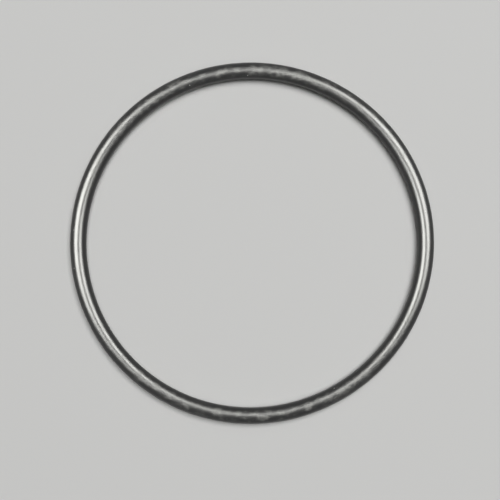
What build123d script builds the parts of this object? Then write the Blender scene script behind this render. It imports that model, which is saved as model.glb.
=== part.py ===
"""Rubber o-ring: one moulded ring of round section, with the fine flash that its mould leaves.

Lengths are in millimetres. The ring lies flat, with its axis along +Z. The origin is the
centre of the ring, on the plane where the two halves of the mould met.
"""

from build123d import *
from math import pi, sqrt
import os

# The two sizes that an o-ring is sold by
INSIDE_DIAMETER = 72.39  # across the hole, from rubber to rubber
SECTION_DIAMETER = 3.53  # thickness of the round section

# The flash: a low ridge along the parting line, inside and outside the ring
FLASH_HEIGHT = 0.07  # how far it stands proud of the round section
FLASH_ROOT_WIDTH = 0.26  # where it leaves the round section
FLASH_CREST_WIDTH = 0.06  # across its rounded crest

NODE = "o_ring"


def flash_ridge() -> Sketch:
    """One ridge of the section, on the side away from the ring's axis.

    Its root is a chord of the round section, so its flanks leave the rubber exactly at
    the root width and nothing of it hangs free. Its crest is a half circle.
    """
    section_radius = SECTION_DIAMETER / 2
    half_root = FLASH_ROOT_WIDTH / 2
    crest_radius = FLASH_CREST_WIDTH / 2
    root = sqrt(section_radius**2 - half_root**2)
    crest = section_radius + FLASH_HEIGHT
    shoulder = crest - crest_radius
    outline = [
        Line((root, half_root), (root, -half_root)),
        Line((root, -half_root), (shoulder, -crest_radius)),
        ThreePointArc((shoulder, -crest_radius), (crest, 0), (shoulder, crest_radius)),
        Line((shoulder, crest_radius), (root, half_root)),
    ]
    return make_face(outline)


def ring_section() -> Sketch:
    """The round section with a ridge on each side, centred on the origin."""
    ridge = flash_ridge()
    return Circle(SECTION_DIAMETER / 2) + ridge + Rot(0, 0, 180) * ridge


def o_ring() -> Part:
    """The section carried once round the ring's axis."""
    centre_line_radius = (INSIDE_DIAMETER + SECTION_DIAMETER) / 2
    placed_section = Plane.XZ * Pos(centre_line_radius, 0) * ring_section()
    return revolve(placed_section, axis=Axis.Z, revolution_arc=360)


def plain_ring_volume() -> float:
    """Volume of the ring without its flash: the section's area times its centre line."""
    centre_line = pi * (INSIDE_DIAMETER + SECTION_DIAMETER)
    return pi * (SECTION_DIAMETER / 2) ** 2 * centre_line


ring = o_ring()
ring.label = NODE

os.makedirs("parts", exist_ok=True)
export_step(ring, f"parts/{NODE}.step")
print(f"{NODE}: {ring.volume:.1f} mm3, of which flash {ring.volume - plain_ring_volume():.1f} mm3")
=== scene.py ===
"""Rubber o-ring: a moulded ring of black rubber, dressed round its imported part.

All lengths are in metres. The ring lies flat with its axis along +Z and its centre at the
origin. A place on it has two angles: the turn round the ring's axis, from +X towards +Y, and
the turn round its section, from the outside, over the top, to the inside.
"""

import logging
import math
from dataclasses import dataclass
from enum import Enum
from typing import Any, Union

import bpy
import numpy as np
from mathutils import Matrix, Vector

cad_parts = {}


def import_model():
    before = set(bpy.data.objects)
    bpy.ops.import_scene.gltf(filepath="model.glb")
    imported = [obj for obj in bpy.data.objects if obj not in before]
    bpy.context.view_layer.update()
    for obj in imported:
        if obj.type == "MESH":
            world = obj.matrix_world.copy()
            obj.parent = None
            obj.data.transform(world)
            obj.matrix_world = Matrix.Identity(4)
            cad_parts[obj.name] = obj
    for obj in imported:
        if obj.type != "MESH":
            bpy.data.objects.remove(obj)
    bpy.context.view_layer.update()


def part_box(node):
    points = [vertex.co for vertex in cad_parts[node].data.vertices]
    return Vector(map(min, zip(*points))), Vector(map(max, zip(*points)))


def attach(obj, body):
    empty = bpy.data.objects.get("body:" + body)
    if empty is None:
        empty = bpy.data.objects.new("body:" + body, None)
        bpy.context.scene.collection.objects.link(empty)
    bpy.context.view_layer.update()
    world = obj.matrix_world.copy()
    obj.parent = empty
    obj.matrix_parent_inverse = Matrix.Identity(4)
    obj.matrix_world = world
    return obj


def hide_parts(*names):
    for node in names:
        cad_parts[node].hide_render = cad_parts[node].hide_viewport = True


LOG = logging.getLogger("o_ring")

NODE = "o_ring"
BODY = "root"
PIECE = "moulded_ring"
FLASH_ATTRIBUTE = "flash"
MILLIMETRE = 0.001


# ---------------------------------------------------------------- shader maths


class Value:
    """A number in a node tree. An expression on values adds the Math nodes for it."""

    def __init__(self, recipe: "Recipe", socket: bpy.types.NodeSocket) -> None:
        """Wraps an output socket.

        Args:
            recipe: the node tree that holds the socket.
            socket: the output that gives the number.
        """
        self.recipe = recipe
        self.socket = socket

    def _maths(self, operation: str, first: "Number", second: "Number") -> "Value":
        """Adds one Math node and returns its result."""
        return self.recipe.maths(operation, first, second)

    def __add__(self, other: "Number") -> "Value":
        """self + other."""
        return self._maths("ADD", self, other)

    __radd__ = __add__

    def __sub__(self, other: "Number") -> "Value":
        """self - other."""
        return self._maths("SUBTRACT", self, other)

    def __rsub__(self, other: "Number") -> "Value":
        """other - self."""
        return self._maths("SUBTRACT", other, self)

    def __mul__(self, other: "Number") -> "Value":
        """self * other."""
        return self._maths("MULTIPLY", self, other)

    __rmul__ = __mul__

    def __truediv__(self, other: "Number") -> "Value":
        """self / other."""
        return self._maths("DIVIDE", self, other)

    def __pow__(self, other: "Number") -> "Value":
        """self ** other."""
        return self._maths("POWER", self, other)


Number = Union[Value, float]


class Recipe:
    """The node tree of a material or a world, written as expressions."""

    def __init__(self, owner: Union[bpy.types.Material, bpy.types.World]) -> None:
        """Starts an empty node tree.

        Args:
            owner: the material or world that it belongs to.
        """
        owner.use_nodes = True
        self.owner = owner
        self.tree = owner.node_tree
        self.tree.nodes.clear()

    def node(self, kind: str, settings: dict[str, Any], **inputs: Any) -> bpy.types.Node:
        """Adds a node.

        Args:
            kind: the node's type, such as ShaderNodeTexNoise.
            settings: its own settings, set first.
            **inputs: a value or a link for each socket, by its name with _ for each space.

        Returns:
            The new node.
        """
        made = self.tree.nodes.new(kind)
        for name, setting in settings.items():
            setattr(made, name, setting)
        for name, given in inputs.items():
            self.feed(made.inputs[name.replace("_", " ")], given)
        return made

    def feed(self, socket: bpy.types.NodeSocket, given: Any) -> None:
        """Gives an input socket a value, or links it to a value or an output socket."""
        if isinstance(given, Value):
            given = given.socket
        if isinstance(given, bpy.types.NodeSocket):
            self.tree.links.new(given, socket)
        else:
            socket.default_value = given

    def maths(self, operation: str, *numbers: Number, clamp: bool = False) -> Value:
        """Adds a Math node on one to three numbers and returns its result."""
        made = self.tree.nodes.new("ShaderNodeMath")
        made.operation = operation
        made.use_clamp = clamp
        for socket, number in zip(made.inputs, numbers):
            self.feed(socket, number)
        return Value(self, made.outputs[0])

    def vector(self, x: Number, y: Number, z: Number) -> bpy.types.NodeSocket:
        """Puts three numbers together as a vector."""
        return self.node("ShaderNodeCombineXYZ", {}, X=x, Y=y, Z=z).outputs[0]

    def ramp(self, number: Number, low: float, high: float) -> Value:
        """Rises smoothly from 0 at low to 1 at high, or falls where low is the larger."""
        made = self.node("ShaderNodeMapRange", {"interpolation_type": "SMOOTHSTEP"}, Value=number)
        self.feed(made.inputs["From Min"], low)
        self.feed(made.inputs["From Max"], high)
        return Value(self, made.outputs["Result"])

    def blend(self, amount: Number, base: Any, over: Any) -> bpy.types.NodeSocket:
        """Mixes two colours: base where amount is 0, over where it is 1."""
        made = self.node("ShaderNodeMix", {"data_type": "RGBA"})
        self.feed(made.inputs[0], amount)
        self.feed(made.inputs[6], base)
        self.feed(made.inputs[7], over)
        return made.outputs[2]

    def finish(self, shader: bpy.types.Node) -> Union[bpy.types.Material, bpy.types.World]:
        """Links the shader to a new output and returns the tree's owner."""
        of_world = isinstance(self.owner, bpy.types.World)
        kind = "ShaderNodeOutputWorld" if of_world else "ShaderNodeOutputMaterial"
        self.node(kind, {}, Surface=shader.outputs[0])
        return self.owner


# ---------------------------------------------------------------- finishes


@dataclass(frozen=True)
class RingPlace:
    """Where a shaded point lies on the ring, as numbers in a node tree.

    turn_x and turn_y are the cosine and sine of its turn round the ring's axis, and over_x
    and over_z those of its turn round the section. flash is 1 on a full ridge of flash and 0
    on the round.
    """

    position: bpy.types.NodeSocket
    turn_x: Value
    turn_y: Value
    over_x: Value
    over_z: Value
    flash: Value

    @classmethod
    def read(cls, recipe: Recipe, centre_line: float, section: float) -> "RingPlace":
        """Reads the place from the piece's own coordinates and its own flash attribute.

        Args:
            recipe: the node tree to add to.
            centre_line: radius of the circle that the section's centre follows.
            section: radius of the section.

        Returns:
            The place.
        """
        position = recipe.node("ShaderNodeTexCoord", {}).outputs["Object"]
        split = recipe.node("ShaderNodeSeparateXYZ", {}, Vector=position)
        x, y, z = (Value(recipe, split.outputs[axis]) for axis in "XYZ")
        reach = recipe.maths("SQRT", x * x + y * y)
        flash = recipe.node("ShaderNodeAttribute", {"attribute_name": FLASH_ATTRIBUTE})
        return cls(
            position,
            x / reach,
            y / reach,
            (reach - centre_line) / section,
            z / section,
            Value(recipe, flash.outputs["Fac"]),
        )

    def noise(self, recipe: Recipe, along: float, across: float, detail: float = 2.0,
              start: float = 0.0) -> Value:
        """Noise that follows the ring, with no seam anywhere.

        Args:
            recipe: the node tree to add to.
            along: how fast it changes round the ring's axis.
            across: how fast it changes round the section.
            detail: octaves of finer noise.
            start: moves the pattern, so that two noises differ.

        Returns:
            The noise, about 0.5 on average.
        """
        where = recipe.vector(self.turn_x * along + start, self.turn_y * along, self.over_x * across)
        made = recipe.node(
            "ShaderNodeTexNoise",
            {"noise_dimensions": "4D"},
            Vector=where,
            W=self.over_z * across,
            Scale=1.0,
            Detail=detail,
            Roughness=0.55,
        )
        return Value(recipe, made.outputs[0])


@dataclass(frozen=True)
class RubberFinish:
    """Black moulded rubber: satin, drawn with fine marks along the ring, with pale dust on it.

    Attributes:
        centre_line: radius of the circle that the section's centre follows.
        section: radius of the section.
        rubber: the bare rubber's colour.
        bloom: the colour of the film on it.
        dust: the colour of a grain of dust.
        flash_highlight: the pale colour painted on the flash's crest, a painted highlight where the
            flash would catch the light.
        plain_roughness: roughness of bare rubber between deep and shallow marks.
        marks_roughness: how much rougher the highest marks are than the lowest.
        film_roughness: what the thickest film adds.
        speck_roughness: what a grain adds.
        mark_depth: depth of the marks along the ring.
        peel_depth: depth of the skin's fine grain.
        speck_spacing: size of the cells that may hold a grain.
        speck_radius: how far a grain reaches.
        speck_core: the share of that which is wholly grain.
        speck_height: how far a grain stands up.
        bare_share: the share of cells with no grain.
    """

    centre_line: float
    section: float
    rubber: tuple[float, float, float, float] = (0.008, 0.008, 0.008, 1.0)
    bloom: tuple[float, float, float, float] = (0.07, 0.07, 0.066, 1.0)
    dust: tuple[float, float, float, float] = (0.62, 0.62, 0.58, 1.0)
    # Pale colour of the painted highlight along the flash's crest.
    flash_highlight: tuple[float, float, float, float] = (0.5, 0.5, 0.47, 1.0)
    plain_roughness: float = 0.31
    marks_roughness: float = 0.12
    film_roughness: float = 0.42
    speck_roughness: float = 0.4
    mark_depth: float = 0.0022 * MILLIMETRE
    peel_depth: float = 0.005 * MILLIMETRE
    speck_spacing: float = 0.9 * MILLIMETRE
    speck_radius: float = 0.11 * MILLIMETRE
    speck_core: float = 0.45
    speck_height: float = 0.03 * MILLIMETRE
    bare_share: float = 0.93

    def specks(self, recipe: Recipe, place: RingPlace) -> Value:
        """Small grains of dust: 1 on a grain, 0 between grains. Few cells hold one."""
        cells = recipe.node(
            "ShaderNodeTexVoronoi",
            {"feature": "F1"},
            Vector=place.position,
            Scale=1.0 / self.speck_spacing,
            Randomness=1.0,
        )
        draw = recipe.node("ShaderNodeSeparateColor", {}, Color=cells.outputs["Color"])
        drawn = Value(recipe, draw.outputs["Red"])
        edge = self.speck_radius / self.speck_spacing
        core = edge * self.speck_core
        grain = recipe.ramp(Value(recipe, cells.outputs["Distance"]), edge, core)
        return grain * recipe.ramp(drawn, self.bare_share, self.bare_share + 0.02)

    def film(self, recipe: Recipe, place: RingPlace) -> Value:
        """The pale film that rubber sweats out: cloudy, on top, and thickest towards -Y and +Y."""
        clouds = recipe.ramp(place.noise(recipe, 24.0, 1.6, 4.0), 0.44, 0.68)
        smears = recipe.ramp(place.noise(recipe, 60.0, 5.0, 3.0, start=7.0), 0.42, 0.66)
        side = place.turn_y * place.turn_y
        upper = recipe.ramp(place.over_z, 0.45, 0.95)
        return (clouds * 0.55 + clouds * smears * 0.45) * (side * 0.75 + 0.12) * upper

    def material(self) -> bpy.types.Material:
        """Builds the material.

        Returns:
            The rubber's material.
        """
        recipe = Recipe(bpy.data.materials.new("black_rubber"))
        place = RingPlace.read(recipe, self.centre_line, self.section)
        film = self.film(recipe, place)
        specks = self.specks(recipe, place)
        marks = place.noise(recipe, 7.0, 17.0, 3.0, start=3.0)
        grain = recipe.node(
            "ShaderNodeTexNoise", {}, Vector=place.position, Scale=3200.0, Detail=3.0)
        peel = Value(recipe, grain.outputs[0])
        # Painted highlight: the flash's crest is painted pale where it stands at full height, as if it
        # caught the light.
        flash_highlight_amount = recipe.ramp(place.flash, 0.4, 0.7)

        colour = recipe.blend(film, self.rubber, self.bloom)
        colour = recipe.blend(flash_highlight_amount, colour, self.flash_highlight)
        colour = recipe.blend(specks, colour, self.dust)
        added = film * self.film_roughness + specks * self.speck_roughness
        smoothest = self.plain_roughness - self.marks_roughness / 2
        roughness = added + (marks * self.marks_roughness + smoothest)
        height = marks * self.mark_depth + peel * self.peel_depth + specks * self.speck_height
        bump = recipe.node("ShaderNodeBump", {}, Height=height, Distance=1.0, Strength=1.0)
        shader = recipe.node(
            "ShaderNodeBsdfPrincipled",
            {},
            Base_Color=colour,
            Roughness=roughness,
            IOR=1.5,
            Normal=bump.outputs[0],
        )
        return recipe.finish(shader)


@dataclass(frozen=True)
class FloorFinish:
    """The plain pale surface that the ring lies on."""

    colour: tuple[float, float, float, float] = (0.6, 0.6, 0.59, 1.0)
    roughness: float = 0.9

    def material(self) -> bpy.types.Material:
        """Builds the material.

        Returns:
            The floor's material.
        """
        recipe = Recipe(bpy.data.materials.new("pale_floor"))
        shader = recipe.node(
            "ShaderNodeBsdfPrincipled",
            {},
            Base_Color=self.colour,
            Roughness=self.roughness,
            Specular_IOR_Level=0.0,
        )
        return recipe.finish(shader)


# ---------------------------------------------------------------- the ring


class Side(Enum):
    """The two sides of the section that carry the mould's flash."""

    OUTSIDE = 1
    INSIDE = -1


@dataclass
class MouldedRing:
    """The ring: a round section with a ridge of flash on each side, carried round its axis.

    Left to lie by itself, a rubber ring is never quite round and its section is rolled a
    little, by more on one side than on the other, so its flash shows from above on the
    inside of one half and on the outside of the other.

    Attributes:
        outside: radius to the crest of the outer flash.
        section: radius of the section.
        flash_height: how far the flash stands out of the section.
        section_points: points round the section.
        steps: sections round the ring.
        roll: how far the section is rolled inwards over the top, on average.
        roll_swing: how much less that is where it is least.
        roll_towards: the turn at which it is least.
        flash_wear: the share of the flash's height that is gone where it is most worn.
        wear_waves: how many times round the ring each of the wear's three waves runs.
        long_waves: the ring's two waves out of round: times round, share of its radius, and
            the turn of a crest.
    """

    outside: float
    section: float
    flash_height: float = 0.07 * MILLIMETRE
    section_points: int = 88
    steps: int = 720
    roll: float = math.radians(9.0)
    roll_swing: float = math.radians(15.0)
    roll_towards: float = math.radians(30.0)
    flash_wear: float = 0.6
    wear_waves: tuple[int, int, int] = (23, 41, 9)
    long_waves: tuple[tuple[int, float, float], ...] = ((2, 0.0039, 0.11), (3, 0.0018, 0.0))

    @classmethod
    def from_frame(cls) -> "MouldedRing":
        """Reads the ring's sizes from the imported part's box."""
        low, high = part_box(NODE)
        return cls(outside=high.x, section=(high.z - low.z) / 2)

    @property
    def centre_line(self) -> float:
        """Radius of the circle that the section's centre follows."""
        return self.outside - self.flash_height - self.section

    def build(self) -> bpy.types.Object:
        """Models the ring.

        Returns:
            The finished piece, with its place in its mesh.
        """
        piece = self._section()
        for side in Side:
            self._raise_flash(piece, side)
        self._spin(piece)
        self._let_lie(piece)
        self._lay_out_map(piece)
        bpy.ops.object.select_all(action="DESELECT")
        piece.select_set(True)
        bpy.context.view_layer.objects.active = piece
        bpy.ops.object.shade_smooth()
        return piece

    def _section(self) -> bpy.types.Object:
        """Adds the round section, upright on the ring's centre line at +X."""
        bpy.ops.object.select_all(action="DESELECT")
        bpy.ops.mesh.primitive_circle_add(
            vertices=self.section_points,
            radius=self.section,
            location=(self.centre_line, 0, 0),
            rotation=(math.pi / 2, 0, 0),
        )
        piece = bpy.context.active_object
        piece.name = PIECE
        piece.data.name = PIECE
        bpy.ops.object.transform_apply(location=True, rotation=True, scale=True)
        return piece

    def _raise_flash(self, piece: bpy.types.Object, side: Side) -> None:
        """Draws one side's ridge out of the section.

        The two edges that meet at the side's outermost point are divided, so that the ridge
        leaves the round on the points to either side. Its crest point and the shoulders beside
        it are lifted together, and then the crest alone, each by its share of the height.

        Args:
            piece: the section's object.
            side: which side of the section.
        """
        bpy.context.view_layer.objects.active = piece
        tip = self.centre_line + side.value * self.section
        spacing = math.tau * self.section / self.section_points
        self._select_near(piece, tip, spacing * 1.1)
        bpy.ops.object.mode_set(mode="EDIT")
        bpy.ops.mesh.subdivide(number_cuts=1)
        bpy.ops.object.mode_set(mode="OBJECT")
        shoulder, crest = (0.6, 0.55), (0.2, 0.45)
        for reach, lift in (shoulder, crest):
            self._select_near(piece, tip, spacing * reach, across_only=True)
            bpy.ops.object.mode_set(mode="EDIT")
            bpy.ops.transform.translate(value=(side.value * lift * self.flash_height, 0, 0))
            bpy.ops.object.mode_set(mode="OBJECT")

    def _select_near(self, piece: bpy.types.Object, tip: float, reach: float,
                     across_only: bool = False) -> None:
        """Selects the section's points near one side.

        Args:
            piece: the section's object.
            tip: where the side is along X.
            reach: how far from mid height, and unless across_only from the tip, they may lie.
            across_only: takes all points of that side by their height alone.
        """
        bpy.ops.object.mode_set(mode="EDIT")
        bpy.ops.mesh.select_all(action="DESELECT")
        bpy.ops.object.mode_set(mode="OBJECT")
        for point in piece.data.vertices:
            near_side = abs(point.co.x - tip) < (self.section / 2 if across_only else reach)
            point.select = near_side and abs(point.co.z) < reach
        for edge in piece.data.edges:
            first, second = edge.vertices
            points = piece.data.vertices
            edge.select = points[first].select and points[second].select

    def _spin(self, piece: bpy.types.Object) -> None:
        """Carries the section once round the axis and closes it."""
        bpy.context.view_layer.objects.active = piece
        bpy.ops.object.mode_set(mode="EDIT")
        bpy.ops.mesh.select_all(action="SELECT")
        bpy.ops.mesh.spin(steps=self.steps, angle=math.tau, center=(0, 0, 0), axis=(0, 0, 1))
        bpy.ops.mesh.select_all(action="SELECT")
        bpy.ops.mesh.remove_doubles(threshold=0.0005 * MILLIMETRE)
        bpy.ops.mesh.normals_make_consistent(inside=False)
        bpy.ops.mesh.select_all(action="DESELECT")
        bpy.ops.object.mode_set(mode="OBJECT")

    def _let_lie(self, piece: bpy.types.Object) -> None:
        """Rolls the section by its varying amount, wears the flash and makes the ring less round."""
        mesh = piece.data
        places = np.empty(len(mesh.vertices) * 3)
        mesh.vertices.foreach_get("co", places)
        places = places.reshape(-1, 3)
        turn = np.arctan2(places[:, 1], places[:, 0])
        out = np.hypot(places[:, 0], places[:, 1]) - self.centre_line
        over = np.arctan2(places[:, 2], out)
        radius = np.hypot(out, places[:, 2])

        flash = np.clip(radius - self.section, 0.0, None)
        first, second, third = self.wear_waves
        waves = np.sin(first * turn + 1.3) * np.sin(second * turn) * np.cos(third * turn + 0.4)
        worn = 0.5 + 0.5 * waves
        flash = flash * (1 - self.flash_wear * worn)
        radius = np.minimum(radius, self.section) + flash
        over = over + self.roll - self.roll_swing * np.cos(turn - self.roll_towards)

        centre_line = self.centre_line * (1 + self._out_of_round(turn))
        out = centre_line + radius * np.cos(over)
        places = np.stack([out * np.cos(turn), out * np.sin(turn), radius * np.sin(over)], 1)
        mesh.vertices.foreach_set("co", places.ravel())
        mark = mesh.attributes.new(FLASH_ATTRIBUTE, "FLOAT", "POINT")
        mark.data.foreach_set("value", (flash / self.flash_height).astype(np.float32))
        mesh.update()

    def _out_of_round(self, turn: np.ndarray) -> np.ndarray:
        """How much wider the ring lies at each turn, as a share of its radius."""
        return sum(share * np.cos(times * (turn - crest)) for times, share, crest in self.long_waves)

    def _lay_out_map(self, piece: bpy.types.Object, strips: int = 5) -> None:
        """Unrolls the skin as strips that lie one above another, so that a picture of it is sharp.

        Args:
            piece: the ring's object.
            strips: how many lengths the ring is cut into.
        """
        mesh = piece.data
        layer = mesh.uv_layers.new(name="OFBake")
        margin = 0.004
        height = (1.0 - margin) / strips
        middles = np.empty(len(mesh.polygons) * 3)
        mesh.polygons.foreach_get("center", middles)
        corners = np.empty(len(mesh.loops), np.int32)
        mesh.loops.foreach_get("vertex_index", corners)
        totals = np.empty(len(mesh.polygons), np.int32)
        mesh.polygons.foreach_get("loop_total", totals)
        points = np.empty(len(mesh.vertices) * 3)
        mesh.vertices.foreach_get("co", points)

        face_turn, face_over = self._shares(middles.reshape(-1, 3))
        turn, over = self._shares(points.reshape(-1, 3))
        face_turn, face_over = np.repeat(face_turn, totals), np.repeat(face_over, totals)
        turn, over = turn[corners], over[corners]
        turn = turn + np.round(face_turn - turn)
        over = over + np.round(face_over - over)
        strip = np.floor(face_turn * strips)
        across = margin + (turn * strips - strip) * (1 - 2 * margin)
        up = margin + strip * height + over * (height - margin)
        layer.uv.foreach_set("vector", np.stack([across, up], 1).astype(np.float32).ravel())

    def _shares(self, places: np.ndarray) -> tuple[np.ndarray, np.ndarray]:
        """The turn round the axis and the turn round the section, each from 0 to 1."""
        turn = np.arctan2(places[:, 1], places[:, 0]) / math.tau % 1.0
        out = np.hypot(places[:, 0], places[:, 1]) - self.centre_line
        over = (np.arctan2(places[:, 2], out) / math.tau + 0.25) % 1.0
        return turn, over

    def dress(self, piece: bpy.types.Object) -> None:
        """Gives the piece its rubber."""
        finish = RubberFinish(centre_line=self.centre_line, section=self.section)
        piece.data.materials.append(finish.material())


# ---------------------------------------------------------------- the studio


class Task(Enum):
    """What a lamp is for."""

    SHED_LIGHT = "sheds light, and isn't seen in glossy surfaces"
    GIVE_GLOSS = "is seen in glossy surfaces, and sheds no light"


@dataclass(frozen=True)
class SoftCard:
    """A flat soft lamp that looks straight down.

    Attributes:
        name: the lamp's name.
        centre: its middle.
        size: its sides along X and Y.
        glow: the brightness of its face, where 1 is white.
        task: what it is for.
        tint: its colour.
    """

    name: str
    centre: tuple[float, float, float]
    size: tuple[float, float]
    glow: float
    task: Task = Task.GIVE_GLOSS
    tint: tuple[float, float, float] = (1.0, 1.0, 0.955)

    def hang(self) -> None:
        """Adds the lamp to the scene."""
        lamp = bpy.data.lights.new(self.name, "AREA")
        lamp.shape = "ELLIPSE"
        lamp.size, lamp.size_y = self.size
        face = math.pi / 4 * self.size[0] * self.size[1]
        lamp.energy = self.glow * math.pi * face
        lamp.color = self.tint
        holder = bpy.data.objects.new(self.name, lamp)
        holder.location = self.centre
        holder.visible_camera = False
        holder.visible_diffuse = self.task is Task.SHED_LIGHT
        holder.visible_glossy = self.task is Task.GIVE_GLOSS
        bpy.context.scene.collection.objects.link(holder)


@dataclass(frozen=True)
class Studio:
    """The floor, the surroundings, the lamps and the camera.

    Attributes:
        floor_height: where the ring rests.
        floor_reach: radius of the round floor.
        surroundings: how bright the world is as a light.
        backdrop: how bright the world looks.
        camera_height: how far the camera is above the ring's centre plane.
        camera_aside: the camera's place along X and Y.
        camera_angle: its angle of view.
    """

    floor_height: float
    floor_reach: float = 1.6
    surroundings: float = 0.12
    backdrop: float = 0.55
    camera_height: float = 0.2
    camera_aside: tuple[float, float] = (-0.0004, -0.0015)
    camera_angle: float = math.radians(30.66)

    def cards(self) -> list[SoftCard]:
        """The lamps: a wide one overhead, and three that only give gloss.

        Two of those are bright cards to either side of the camera, and the third is a dim one
        beyond it.
        """
        return [
            SoftCard("overhead", (0.55, 0.75, 2.5), (1.9, 1.9), 8.1, Task.SHED_LIGHT, (1.0, 1.0, 1.0)),
            SoftCard("card_left", (-0.178, 0.025, 0.25), (0.28, 0.215), 27.0),
            SoftCard("card_right", (0.162, 0.066, 0.25), (0.265, 0.225), 24.0),
            SoftCard("card_far", (0.03, 0.2, 0.25), (0.16, 0.1), 2.5),
        ]

    def build(self) -> None:
        """Adds everything that isn't the ring."""
        self._lay_floor()
        self._surround()
        for card in self.cards():
            card.hang()
        self._set_camera()

    def _lay_floor(self) -> None:
        """Adds the floor, just where the ring rests."""
        bpy.ops.object.select_all(action="DESELECT")
        bpy.ops.mesh.primitive_circle_add(
            vertices=256,
            radius=self.floor_reach,
            fill_type="NGON",
            location=(0, 0, self.floor_height),
        )
        floor = bpy.context.active_object
        floor.name = "floor"
        floor.data.materials.append(FloorFinish().material())

    def _surround(self) -> None:
        """Lights the scene evenly from all round, and shows a pale backdrop.

        The backdrop is what the camera, glossy surfaces and clear ones see.
        """
        recipe = Recipe(bpy.data.worlds.new("surroundings"))
        rays = recipe.node("ShaderNodeLightPath", {}).outputs
        looked_at = recipe.maths("MAXIMUM", Value(recipe, rays["Is Camera Ray"]),
                                 Value(recipe, rays["Is Glossy Ray"]))
        looked_at = recipe.maths("MAXIMUM", looked_at, Value(recipe, rays["Is Transmission Ray"]))
        strength = looked_at * (self.backdrop - self.surroundings) + self.surroundings
        shine = recipe.node("ShaderNodeBackground", {}, Color=(1.0, 1.0, 1.0, 1.0), Strength=strength)
        bpy.context.scene.world = recipe.finish(shine)

    def _set_camera(self) -> None:
        """Adds the camera, which looks straight down on the ring."""
        lens = bpy.data.cameras.new("camera")
        lens.angle = self.camera_angle
        lens.clip_start = 0.001
        lens.clip_end = 20.0
        camera = bpy.data.objects.new("camera", lens)
        camera.location = Vector((*self.camera_aside, self.camera_height))
        bpy.context.scene.collection.objects.link(camera)
        bpy.context.scene.camera = camera


def main() -> None:
    """Builds the scene: the studio first, then the ring on its body."""
    logging.basicConfig(level=logging.INFO, format="%(name)s: %(message)s")
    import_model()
    bpy.context.scene.view_settings.view_transform = "Standard"

    low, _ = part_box(NODE)
    Studio(floor_height=low.z).build()
    LOG.info("studio built")

    ring = MouldedRing.from_frame()
    piece = ring.build()
    ring.dress(piece)
    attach(piece, BODY)
    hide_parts(NODE)
    LOG.info("%s: %d faces, rides on %s", piece.name, len(piece.data.polygons), BODY)


if __name__ == "__main__":
    main()
